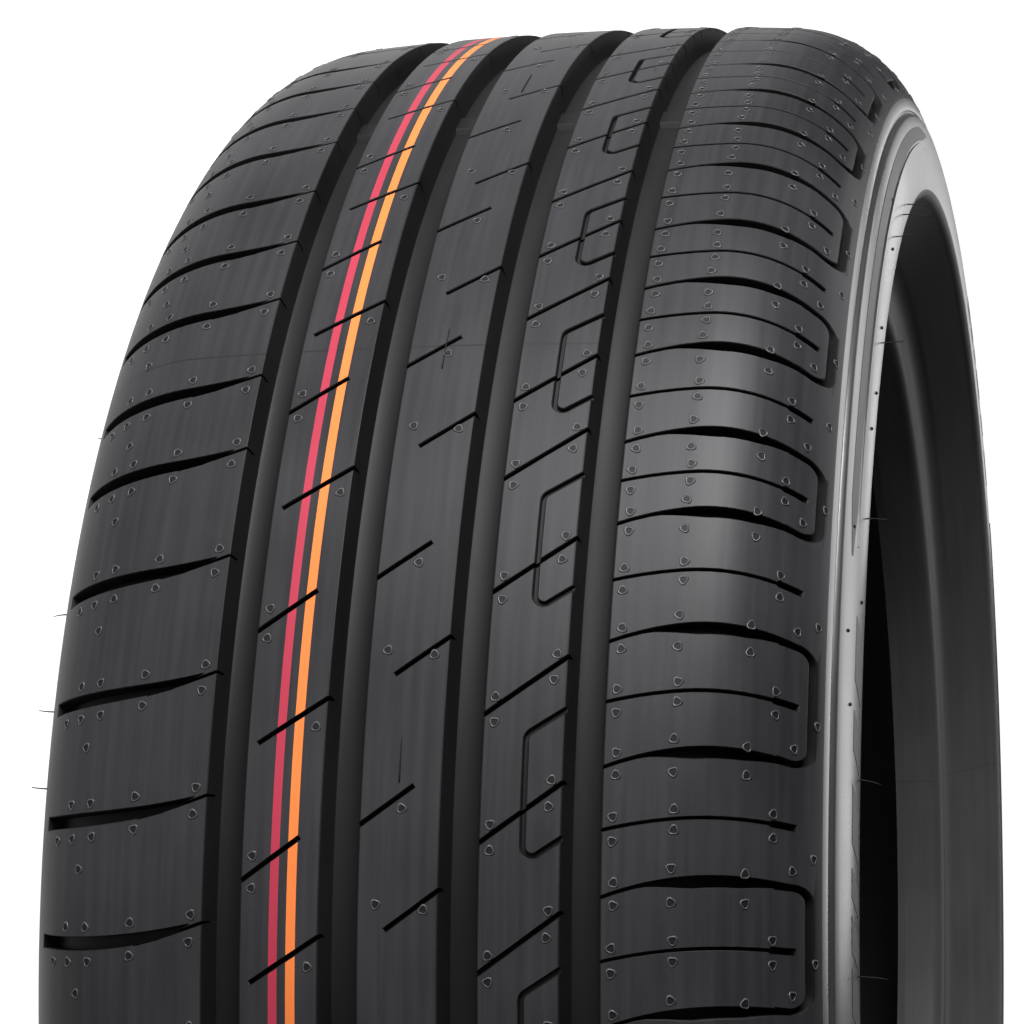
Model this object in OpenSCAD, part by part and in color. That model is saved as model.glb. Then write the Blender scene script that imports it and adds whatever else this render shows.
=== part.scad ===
// Car tyre lying on its lower sidewall, its axis along Z.
// The origin is the centre of the wheel. The shoulder with the looped
// grooves faces up, the plainer shoulder faces down.

/* [Overall size] */
// Outer diameter over the tread
tyre_d = 634; // [600:1:660]
// Diameter of the wheel's bead seat
seat_d = 436.6; // [430:0.2:442]
// Width over the flanks of the two beads
bead_w = 188; // [180:1:196]

/* [Tread arcs] */
// Radius of the arc across the middle of the tread
crown_arc = 1200; // [900:50:1500]
// Radius of the arc across each shoulder
shoulder_arc = 600; // [500:20:800]
// Slope where the shoulder turns into its corner
shoulder_slope = 4.5; // [4.2:0.1:5]
// Radius of the corner to the sidewall, as a share of the sidewall's height
corner_share = 0.53; // [0.515:0.005:0.545]
// Slope where the corner turns into the sidewall
corner_slope = 60; // [58:0.5:62]
// Radius of the sidewall's bulge, as a share of the sidewall's height
bulge_share = 0.81; // [0.76:0.01:0.88]
// Slope at the lower end of the bulge
wall_slope = 93; // [91:1:95]

/* [Rubber thickness] */
// From the tread to the inner surface, at the middle
tread_t = 14; // [12.5:0.5:17]
// Through the sidewall at its bulge
wall_t = 8; // [6:0.5:10]
// Width of the bead's foot, from heel to toe
foot_w = 19; // [17.5:0.5:21]

/* [Bead] */
// Radius of the bead's heel
heel_r = 6; // [5:0.5:7]
// Length of the straight seat beside the heel
land_l = 10; // [9:0.5:11]
// How far the toe dips below the seat
toe_drop = 1.8; // [1:0.2:2.4]
// Height of the flat flank above the seat
flank_h = 8; // [7.5:0.5:10]
// Radius of the hollow that clears the rim's flange
flange_arc = 13; // [11:0.5:15]
// Radius of the nose that guards the rim
nose_r = 6; // [4:0.5:8]

/* [Round grooves] */
// Depth of the round grooves
groove_depth = 8; // [6:0.5:8.5]
// Distance from the pattern's centre to the inner pair of grooves
inner_groove_at = 16.3; // [15.9:0.1:16.7]
// Distance from the pattern's centre to the outer pair of grooves
outer_groove_at = 48.8; // [48.5:0.1:49.1]
// Width of a round groove at the tread
groove_w = 10.5; // [10:0.1:11]
// How far the pattern's centre lies above the tyre's middle
pattern_at = 1.3; // [0.2:0.1:1.6]
// Slope of a groove's walls
groove_draft = 9; // [5:1:11]
// Wear bars in each round groove
wear_bars = 5; // [4:1:6]
// Height of a wear bar above the groove's floor
wear_bar_h = 1.6; // [1:0.2:2]

/* [Pitches] */
// Times that the order of pitches repeats round the tyre
pitch_blocks = 3; // [2:1:4]
// Length of the small pitch, as a share of the large one
small_share = 0.75; // [0.72:0.01:0.8]
// Length of the middle pitch, as a share of the large one
middle_share = 0.87; // [0.84:0.01:0.9]

/* [Sipes and cross grooves] */
// Width of the sipes in the three middle ribs
rib_sipe_w = 1.1; // [0.8:0.1:1.5]
// Slant of those sipes
sipe_slant = 36; // [33:1:39]
// Depth of the sipes
sipe_depth = 4; // [3:0.5:5]
// Width of the thin sipes in the shoulders
thin_sipe_w = 0.8; // [0.6:0.1:1.1]
// Depth of the cross grooves in the shoulders
cross_depth = 4.5; // [3:0.5:6]
// Width of the cross grooves at their widest
cross_w = 3.2; // [2.6:0.1:3.8]
// Depth of the channel that joins their outer ends
channel_depth = 3; // [2:0.5:4]
// Depth of the looped line in the rib beside the upper shoulder
loop_depth = 1.8; // [1:0.2:2.4]

/* [Sidewall lines] */
// Width of the round line below each shoulder
line_w = 1.4; // [1:0.1:2]
// Height of the thin ribs on the sidewall
rib_h = 0.7; // [0.4:0.1:1]

/* [Hidden] */
$fn = 96;
over = 6;               // how far a cutter stands out of the tread
tyre_r = tyre_d / 2;
seat_r = seat_d / 2;
bead_y = bead_w / 2;
// The tread's shoulders begin just outside the outer grooves.
mid_w = outer_groove_at + groove_w / 2 + 0.15;
// The sidewall rises from the hollow that clears the rim's flange.
flange_top = seat_r + flank_h + flange_arc * sin(60);
corner_arc = corner_share * (tyre_r - flange_top);
wall_arc = bulge_share * (tyre_r - flange_top);
rib_w = outer_groove_at - inner_groove_at - groove_w;
middle_rib_w = 2 * inner_groove_at - groove_w;
first_turn = 4.6;       // turn of the first pitch
large = 0; middle = 1; small = 2;
share = [1, middle_share, small_share];
order = [large, large, large, large, small, middle, small, small,
         middle, small, small, small, large, large, middle, small,
         middle, large, middle, large, large, middle];
pitches = pitch_blocks * len(order);
groove_rows = [for (y = [-outer_groove_at, -inner_groove_at,
    inner_groove_at, outer_groove_at]) y + pattern_at];
rubber = [0.15, 0.15, 0.16];

// Points of the section, as [radius, height above the middle]

function last(v) = v[len(v) - 1];
function backwards(v) = [for (i = [len(v) - 1 : -1 : 0]) v[i]];

// Points of an arc from p that turns from slope a to slope b.
// A negative r turns the other way round.
function arc(p, r, a, b, n) = [for (i = [1 : n])
    let (t = a + (b - a) * i / n)
    [p[0] - r * (cos(a) - cos(t)), p[1] + r * (sin(t) - sin(a))]];

// The tread's outline has its corners in the round grooves, so that each
// rib is one plain cylinder or cone.
mid_slope = asin(mid_w / crown_arc);
top = [for (y = [inner_groove_at, outer_groove_at, mid_w])
    [tyre_r - (y > inner_groove_at ? y * y / crown_arc / 2 : 0), y]];
shoulder = arc(last(top), shoulder_arc, mid_slope, shoulder_slope, 1);
corner = arc(last(shoulder), corner_arc, shoulder_slope, corner_slope, 4);
corner_end = last(corner);
wall = arc(corner_end, wall_arc, corner_slope, wall_slope, 6);
nose = arc(last(wall), nose_r, wall_slope, 150, 4);
flange = arc([seat_r + flank_h, bead_y], -flange_arc, 90, 150, 4);
heel = arc([seat_r + heel_r, bead_y], heel_r, 90, 180, 5);
half_outer = concat([[tyre_r, 0]], top, shoulder, corner, wall, nose,
    backwards(flange), [[seat_r + flank_h, bead_y]], heel,
    [[seat_r, bead_y - heel_r - land_l]]);

// The inner surface follows the outer one at the rubber's thickness.
liner_top = arc([tyre_r - tread_t, 0], crown_arc - tread_t, 0, mid_slope, 2);
liner_shoulder = arc(last(liner_top), shoulder_arc - tread_t,
    mid_slope, shoulder_slope, 1);
liner_y = corner_end[1] + wall_arc * (1 - sin(corner_slope)) - wall_t;
liner_corner = arc(last(liner_shoulder),
    (liner_y - last(liner_shoulder)[1]) / (1 - sin(shoulder_slope)),
    shoulder_slope, 90, 5);
liner_wall = arc(last(liner_corner), wall_arc - wall_t, 90, 99, 2);
half_inner = concat([[tyre_r - tread_t, 0]], liner_top, liner_shoulder,
    liner_corner, liner_wall,
    [[seat_r + 16, bead_y - 14], [seat_r + 5, bead_y - foot_w],
     [seat_r - toe_drop, bead_y - foot_w]]);
half = concat(half_outer, backwards(half_inner));
mirrored = [for (p = backwards(half)) [p[0], -p[1]]];

// Radius of the tread at a height above the middle
heights = [for (p = concat([[tyre_r, 0]], top, shoulder, corner))
    [p[1], p[0]]];
function tread_r(y) = lookup(abs(y), heights);

// Section of the tyre, with what runs round it

module round_groove(y) {
    floor_r = tread_r(y) - groove_depth;
    half_floor = groove_w / 2 - groove_depth * tan(groove_draft);
    half_open = groove_w / 2 + over * tan(groove_draft);
    polygon([[floor_r, y - half_floor], [tread_r(y) + over, y - half_open],
             [tread_r(y) + over, y + half_open], [floor_r, y + half_floor]]);
}

// A thin rib that stands on the sidewall at a point of the bulge
module wall_rib(p) {
    translate(p) polygon([[-1.6, -1], [-0.6, rib_h], [0.6, rib_h], [1.6, -1]]);
}

module section() {
    difference() {
        union() {
            polygon(concat(half, mirrored));
            for (side = [0, 1]) mirror([0, side]) {
                wall_rib(wall[2]);
                wall_rib(wall[4]);
            }
        }
        for (y = groove_rows) round_groove(y);
        for (side = [0, 1]) mirror([0, side])
            translate(wall[0]) square([line_w, 2.4], center = true);
    }
}

// Low blocks across the round grooves that show when the tread is worn
module wear_bar(y) {
    floor_r = tread_r(y) - groove_depth;
    rotate_extrude(start = -1, angle = 2)
        translate([floor_r - 1, y - groove_w / 2])
            square([wear_bar_h + 1, groove_w]);
}

// Cutters of the tread pattern
// A plan is drawn as [distance from the middle, distance round the tread]
// and a side view as [radius, distance from the middle].

// Turn at which pitch i starts, going up the front of the tyre
function share_sum(k) = k == 0 ? 0 : share[order[k - 1]] + share_sum(k - 1);
function pitch_turn(i) = let (n = len(order), block = floor(i / n))
    first_turn + 360 / pitch_blocks
    * (block + share_sum(i - block * n) / share_sum(n));
function middle_turn(i) = (pitch_turn(i) + pitch_turn(i + 1)) / 2;
function pitch_length(i) =
    (pitch_turn(i + 1) - pitch_turn(i)) * PI / 180 * tyre_r;

module at_turn(turn) rotate([0, 0, 180 - turn]) translate([0, 0, pattern_at])
    children();

module cut_down_to(floor_r)
    translate([floor_r, 0, 0]) rotate(180, [1, 0, 1])
        linear_extrude(tyre_r + over - floor_r) children();

// A straight slot from point p that runs to the side by l at a slant
module slot(p, l, slant, w) {
    translate(p) rotate(l > 0 ? slant : slant + 180)
        translate([0, -w / 2]) square([abs(l) / cos(slant), w]);
}

// Plans of the shoulders start where the tread's flat middle ends.
module upper_side() translate([mid_w, 0]) children();
module lower_side() mirror([1, 0]) translate([mid_w, 0]) children();

// Limits a cutter of the shoulder to a floor that follows the tread.
module shoulder_depth(side, depth) {
    floor_at = [for (x = [-6, 24.8, 38.8, 46.8, 54.8])
        [tread_r(mid_w + x) - depth, side * (mid_w + x)]];
    intersection() {
        children();
        translate([0, 0, -pattern_at]) rotate([90, 0, 0])
            linear_extrude(60, center = true)
                polygon(concat([[tyre_r + 2 * over, side * (mid_w - 6)]],
                    floor_at, [[tyre_r + 2 * over, side * (mid_w + 56)]]));
    }
}

// Points on both sides of a path, at half the width w from it
function edge(path, w) = [for (i = [0 : len(path) - 1])
    let (a = path[max(i - 1, 0)], b = path[min(i + 1, len(path) - 1)],
         d = (b - a) / norm(b - a))
    path[i] + w / 2 * [-d[1], d[0]]];
function ribbon(path, w) = concat(edge(path, w), backwards(edge(path, -w)));
function turned(c, r, a, b, n) = [for (i = [0 : n])
    let (t = a + (b - a) * i / n) c + r * [cos(t), sin(t)]];

// Sipes of the three middle ribs, one of each kind in two pitches
module rib_sipes(i) {
    floor_r = tyre_r - sipe_depth;
    edge_in = inner_groove_at + groove_w / 2 - 1;
    edge_out = outer_groove_at - groove_w / 2 + 1;
    at_turn(pitch_turn(i) + 4.1) cut_down_to(floor_r)
        slot([-edge_out, 0], 0.77 * rib_w, sipe_slant, rib_sipe_w);
    at_turn(pitch_turn(i + 1) + 7.1) cut_down_to(floor_r)
        slot([-edge_in, 0], -0.91 * rib_w, sipe_slant - 3, rib_sipe_w);
    at_turn(pitch_turn(i) + 6.8) cut_down_to(floor_r)
        slot([-middle_rib_w / 2 - 1, 0], 0.7 * middle_rib_w, sipe_slant,
             rib_sipe_w);
    at_turn(pitch_turn(i) + 4) cut_down_to(floor_r)
        slot([middle_rib_w / 2 + 1, 0], -0.7 * middle_rib_w, sipe_slant,
             rib_sipe_w);
}

// Sipe that runs right across the rib beside the upper shoulder
module full_sipe(i) {
    at_turn(pitch_turn(i)) cut_down_to(tyre_r - sipe_depth)
        slot([inner_groove_at + groove_w / 2 - 1, -0.7], rib_w + 2,
             sipe_slant, rib_sipe_w);
}

// Shallow line that loops round one pitch of that rib
module rib_loop(i) {
    reach = outer_groove_at - groove_w / 2 + 1;
    x = reach - rib_w / 2 - 0.25;
    r = 2.6;
    rise = tan(sipe_slant);
    y = pitch_length(i) / 2;
    start = 1.5 - y;
    end = y + 1.5;
    path = concat([[reach, start]],
        turned([x + r, start - (reach - x) * rise + r * 2.1], r,
               270 + sipe_slant / 2, 180, 3),
        turned([x + r, end - (reach - x) * rise - r * 0.2], r,
               180, 90 + sipe_slant, 2),
        [[reach, end]]);
    at_turn(middle_turn(i)) cut_down_to(tread_r(x + 4.7) - loop_depth)
        polygon(ribbon(path, 1.5));
}

// Bowed outlines of the upper shoulder
function bow(x, top_y, spread) = top_y - pow(x - 29.8, 2) / spread;
wide_w = [[11.8, thin_sipe_w], [22.8, cross_w], [35.8, cross_w - 0.3], [45.8, 1.6]];

module upper_cross_groove(i) {
    at = [-3, 10.8, 19.8, 29.8, 38.8, 46.8];
    at_turn(pitch_turn(i) - 2.45) shoulder_depth(1, cross_depth)
        cut_down_to(tyre_r - 40) upper_side() polygon(concat(
            [for (x = at) [x, bow(x, 5.5, 160)]],
            [for (x = backwards(at)) [x, bow(x, 5.5, 160) - lookup(x, wide_w)]]));
}

module upper_thin_sipe(i) {
    path = [for (x = [-3, 12.8, 30.8, 48.3]) [x, bow(x, 3.6, 243)]];
    at_turn(middle_turn(i) - 2.45) shoulder_depth(1, sipe_depth)
        cut_down_to(tyre_r - 40) upper_side()
            polygon(ribbon(path, thin_sipe_w));
}

// Round channel that joins the outer ends of two cross grooves
module upper_channel(i) {
    x = 51.6;
    r = 4;
    y = pitch_length(i) / 2 * 0.94;
    path = concat([[43.8, 3.2 - y]], turned([x - r, 2.8 - y + r], r, -90, 0, 2),
        turned([x - r, 2.8 + y - r], r, 0, 90, 2), [[43.8, 3.2 + y]]);
    at_turn(middle_turn(i) - 2.45) shoulder_depth(1, channel_depth)
        cut_down_to(tyre_r - 40) upper_side() polygon(ribbon(path, 1.6));
}

// Cross groove of the lower shoulder, with a thin sipe that runs on from
// under its pointed end
module lower_cross_groove(i) {
    function upper(x) = -4.8 + pow(x - 40.8, 2) / 345;
    function under(x) = -8.5 + pow(x - 40.8, 2) / 245;
    at_turn(pitch_turn(i) + 2.3) shoulder_depth(-1, cross_depth)
        cut_down_to(tyre_r - 40) lower_side() polygon(concat(
            [for (x = [52.2, 35.8, 19.8, 3.8]) [x, upper(x)]],
            [[11.8, -4.1], [-3, 0.9], [-3, 0.9 - thin_sipe_w]],
            [for (x = [14.8, 26.8, 52.2]) [x, under(x)]]));
}

module tyre() color(rubber) difference() {
    union() {
        rotate_extrude() section();
        for (k = [1 : wear_bars]) rotate(188.5 - k * 360 / wear_bars)
            for (y = groove_rows) wear_bar(y);
    }
    for (i = [0 : pitches - 1]) {
        full_sipe(i);
        upper_cross_groove(i);
        upper_thin_sipe(i);
        lower_cross_groove(i);
    }
    for (i = [0 : 2 : pitches - 1]) {
        rib_sipes(i);
        rib_loop(i + 1);
        upper_channel(i);
    }
}

tyre();
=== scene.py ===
# %% [markdown]
# # A car tyre
# The object is one moulded ring of rubber. Its shape comes from a section
# that is turned about the wheel's axis, and from a tread pattern that is cut
# into the outside. This lesson builds the same tyre as the CAD part, in the
# same place, with smoother curves and with the small things that a mould
# leaves on new rubber. All sizes below are in millimetres.

# %% Load the frame
import math
import random

import bpy
import numpy as np
from mathutils import Matrix, Vector


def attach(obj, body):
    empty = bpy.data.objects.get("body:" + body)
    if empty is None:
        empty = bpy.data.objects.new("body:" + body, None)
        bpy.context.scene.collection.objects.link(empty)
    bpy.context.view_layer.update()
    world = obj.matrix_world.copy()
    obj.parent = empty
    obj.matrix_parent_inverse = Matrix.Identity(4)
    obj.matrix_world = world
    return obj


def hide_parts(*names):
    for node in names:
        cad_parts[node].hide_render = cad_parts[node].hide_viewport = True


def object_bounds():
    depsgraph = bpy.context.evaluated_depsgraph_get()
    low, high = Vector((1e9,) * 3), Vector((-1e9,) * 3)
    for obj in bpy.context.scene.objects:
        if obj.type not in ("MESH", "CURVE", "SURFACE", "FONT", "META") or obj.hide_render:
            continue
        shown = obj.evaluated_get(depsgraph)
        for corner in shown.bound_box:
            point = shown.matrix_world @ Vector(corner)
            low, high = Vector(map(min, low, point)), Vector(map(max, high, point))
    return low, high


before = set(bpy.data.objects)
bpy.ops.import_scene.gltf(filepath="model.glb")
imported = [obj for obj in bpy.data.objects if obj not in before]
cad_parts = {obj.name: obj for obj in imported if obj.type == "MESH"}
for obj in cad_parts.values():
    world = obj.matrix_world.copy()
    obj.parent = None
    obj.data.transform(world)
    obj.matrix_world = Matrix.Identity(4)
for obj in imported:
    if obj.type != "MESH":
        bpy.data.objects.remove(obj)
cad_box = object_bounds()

MM = 0.001
scene = bpy.context.scene
scene.view_settings.view_transform = "Standard"
print("CAD box", [[round(x, 4) for x in corner] for corner in cad_box])

# %% [markdown]
# ## The camera
# The camera stands in front of the tread, a little to the side of the
# sidewall, so the near half of the tread fills the picture and the hole shows
# behind the right edge. A long lens keeps the ribs almost parallel. The wheel's
# axis is Z and runs to the right in the picture, and the picture's up is Y.

# %% Camera
EYE = Vector((-1.08123, 0.14382, 0.21668))
RIGHT = Vector((0.21268, -0.01676, 0.97698))
LOOK = Vector((0.97711, 0.00903, -0.21255))
UP = Vector((-0.00526, 0.99982, 0.0183))
bpy.ops.object.camera_add(location=EYE)
camera = bpy.context.object
camera.name = "camera"
camera.matrix_world = Matrix((
    (RIGHT.x, UP.x, -LOOK.x, EYE.x), (RIGHT.y, UP.y, -LOOK.y, EYE.y),
    (RIGHT.z, UP.z, -LOOK.z, EYE.z), (0, 0, 0, 1)))
camera.data.lens = 106.41
camera.data.sensor_width = 36
camera.data.shift_x = -0.05729
camera.data.shift_y = -0.02141
camera.data.clip_end = 100
scene.camera = camera
print("camera", [round(x, 3) for x in EYE], "lens", camera.data.lens)

# %% [markdown]
# ## The section's outline
# A tyre's section is drawn as arcs that run smoothly into each other: crown,
# shoulder, corner, sidewall, nose and bead. A slope says how far the outline
# has turned away from the axis: 0 on the tread and 90 on the sidewall. The
# same arcs give the radius at each height, which the tread pattern needs
# later to sit on the curved shoulders.

# %% Sizes of the section
TYRE_R, SEAT_R, BEAD_Y = 317.0, 218.3, 94.0
MID_W, CROWN_ARC = 54.2, 1200.0
SHOULDER_ARC, SHOULDER_SLOPE = 600.0, 4.5
CORNER_ARC, CORNER_SLOPE = 42.1, 60.0
WALL_ARC, WALL_SLOPE = 64.35, 93.0
TREAD_T, WALL_T, FOOT_W = 14.0, 8.0, 19.0
HEEL_R, LAND_L, TOE_DROP, FLANK_H = 6.0, 10.0, 1.8, 8.0
FLANGE_ARC, NOSE_R = 13.0, 6.0
GROOVE_DEPTH, GROOVE_W, GROOVE_DRAFT, GROOVE_LIP = 8.0, 10.5, 9.0, 0.45
PATTERN_AT = 1.3
GROOVES = [y + PATTERN_AT for y in (-48.8, -16.3, 16.3, 48.8)]
RED, ORANGE = (-34.1, 2.4), (-29.2, 2.6)


def sin(a):
    return math.sin(math.radians(a))


def cos(a):
    return math.cos(math.radians(a))


def arc(p, r, a, b, n):
    """Points [radius, height] of an arc from p that turns from slope a to b."""
    steps = [a + (b - a) * i / n for i in range(1, n + 1)]
    return [(p[0] - r * (cos(a) - cos(t)), p[1] + r * (sin(t) - sin(a)))
            for t in steps]


MID_SLOPE = math.degrees(math.asin(MID_W / CROWN_ARC))
MID = (TYRE_R - MID_W ** 2 / CROWN_ARC / 2, MID_W)
SHOULDER = arc(MID, SHOULDER_ARC, MID_SLOPE, SHOULDER_SLOPE, 1)[0]
CORNER = arc(SHOULDER, CORNER_ARC, SHOULDER_SLOPE, CORNER_SLOPE, 1)[0]


def surface(y):
    """Radius and slope of the tread's surface at a height."""
    for p, r, a in ((CORNER, WALL_ARC, CORNER_SLOPE),
                    (SHOULDER, CORNER_ARC, SHOULDER_SLOPE),
                    (MID, SHOULDER_ARC, MID_SLOPE), ((TYRE_R, 0), CROWN_ARC, 0)):
        if abs(y) >= p[1]:
            t = math.degrees(math.asin(min(1, sin(a) + (abs(y) - p[1]) / r)))
            return p[0] - r * (cos(a) - cos(t)), t


print("corner ends at", [round(x, 1) for x in CORNER])

# %% [markdown]
# The outline is a list of corners, each with the name of the skin that
# follows it. The round grooves get a softened lip and a rounded foot, because
# rubber leaves a mould without a truly sharp edge. The two painted stripes are
# strips of their own, so their borders stay crisp.

# %% The tread's line
outline, skins = [], []


def add(points, skin):
    for p in points:
        outline.append(p)
        skins.append(skin)


def on_tread(y, offset=0.0):
    r, t = surface(y)
    return (r + offset, y)


def groove_points(y):
    half = GROOVE_W / 2
    foot = half - GROOVE_DEPTH * math.tan(math.radians(GROOVE_DRAFT))
    side = [(-half - GROOVE_LIP, 0), (-half - 0.12, -0.12), (-half + 0.1, -0.5),
            (-foot - 0.1, 1.3 - GROOVE_DEPTH), (-foot + 0.3, 0.4 - GROOVE_DEPTH),
            (-foot + 1.3, -GROOVE_DEPTH)]
    both = side + [(-x, h) for x, h in reversed(side)]
    return [on_tread(y + x, h) for x, h in both]


def rib(low, high, n):
    return [on_tread(low + (high - low) * i / n) for i in range(1, n)]


stops = [-MID_W] + GROOVES + [MID_W]
for k, y in enumerate(stops[:-1]):
    if k > 0:
        # The round groove's walls and floor wear the dark groove skin, which is painted
        # shade.
        add(groove_points(y), "groove")
        skins[-1] = "tread"
    low = y + GROOVE_W / 2 + GROOVE_LIP
    high = stops[k + 1] - GROOVE_W / 2 - GROOVE_LIP
    if k == 0:
        add([on_tread(y)], "tread")
    elif k == 1:
        add([on_tread(-39.6)], "tread")
        for (at, wide), skin in ((RED, "red"), (ORANGE, "orange")):
            add([on_tread(at + PATTERN_AT - wide / 2)], skin)
            add([on_tread(at + PATTERN_AT + wide / 2)], "tread")
        add([on_tread(-23.5)], "tread")
    elif k < 4:
        add(rib(low, high, 4), "tread")
print(len(outline), "corners across the tread")

# %% [markdown]
# Below the shoulder the sidewall carries round mould lines: a lip that turns
# down into a narrow groove. It is laid over the arc of the sidewall as small
# offsets along its normal.

# %% The sidewall and the bead
LINES = [(292.6, 0), (291, 0), (289.8, 0), (288.9, -0.04), (288, -0.11),
         (287.1, -0.2), (286.2, -0.31), (285.4, -0.45), (285, -0.75),
         (284.8, -1.2), (284.2, -1.25), (283.5, -0.35), (283, -0.08), (282.4, 0),
         (279.5, 0), (276, 0), (272.5, 0), (269, 0), (265.4, 0), (262, 0)]


def wall_point(r, offset=0.0):
    """Point of the sidewall at a radius, moved out along its normal."""
    t = math.degrees(math.acos(cos(CORNER_SLOPE) - (CORNER[0] - r) / WALL_ARC))
    y = CORNER[1] + WALL_ARC * (sin(t) - sin(CORNER_SLOPE))
    return (r + offset * cos(t), y + offset * sin(t))


wall_end = arc(CORNER, WALL_ARC, CORNER_SLOPE, WALL_SLOPE, 1)[0]
shoulder_line = (arc(MID, SHOULDER_ARC, MID_SLOPE, SHOULDER_SLOPE, 3)
                 + arc(SHOULDER, CORNER_ARC, SHOULDER_SLOPE, CORNER_SLOPE, 16))
wall_line = [wall_point(r, h) for r, h in LINES] + [wall_end]
nose_line = arc(wall_end, NOSE_R, WALL_SLOPE, 150, 7)
flange_line = arc((SEAT_R + FLANK_H, BEAD_Y), -FLANGE_ARC, 90, 150, 8)[::-1]
heel_line = ([(SEAT_R + FLANK_H, BEAD_Y), (SEAT_R + HEEL_R, BEAD_Y)]
             + arc((SEAT_R + HEEL_R, BEAD_Y), HEEL_R, 90, 180, 8)
             + [(SEAT_R, BEAD_Y - HEEL_R - LAND_L)])
liner_mid = (TYRE_R - TREAD_T - 1.2, MID_W)
liner_shoulder = arc(liner_mid, SHOULDER_ARC, MID_SLOPE, SHOULDER_SLOPE, 1)
liner_y = wall_point(262)[1] - WALL_T
liner_turn = (liner_y - liner_shoulder[-1][1]) / (1 - sin(SHOULDER_SLOPE))
liner_line = ([(TYRE_R - TREAD_T, 0), liner_mid] + liner_shoulder
              + arc(liner_shoulder[-1], liner_turn, SHOULDER_SLOPE, 90, 9))
liner_line += arc(liner_line[-1], WALL_ARC - WALL_T, 90, 99, 2)
liner_line += [(SEAT_R + 16, BEAD_Y - 14), (SEAT_R + 5, BEAD_Y - FOOT_W),
               (SEAT_R - TOE_DROP, BEAD_Y - FOOT_W)]
# The sidewall's glossy skin begins a little below the corner's end.
half = [(p, "tread") for p in shoulder_line + wall_line[:3]]
half += [(p, "wall") for p in wall_line[3:]]
half += [(p, "bead") for p in nose_line + flange_line + heel_line]
# The inside of the ring wears the liner skin, which is painted shade.
half += [(p, "liner") for p in reversed(liner_line[1:])]


def mirrored(points):
    """The half below the middle, in the order that closes the ring."""
    low = [((p[0], -p[1]), skin) for p, skin in reversed(points)]
    names = [skin for p, skin in low]
    return list(zip([p for p, skin in low], names[1:] + ["tread"]))


ring = (list(zip(outline, skins)) + half
        + [((TYRE_R - TREAD_T, 0), "liner")] + mirrored(half))
print(len(ring), "corners round the section")

# %% [markdown]
# ## Rubber
# New rubber is almost black and satin. Its colour drifts a little where the
# mould's release agent dried, and the crown carries faint lengthwise streaks.
# Eight thin dark lines across the tread show where the mould's segments met.
# All this is wanted on the tread, the sidewall and the beads, so it is one node
# group, and each rubber gives it its own strength.

# %% Node group for worn and streaked rubber
def link(tree, a, b):
    tree.links.new(a, b)


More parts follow.
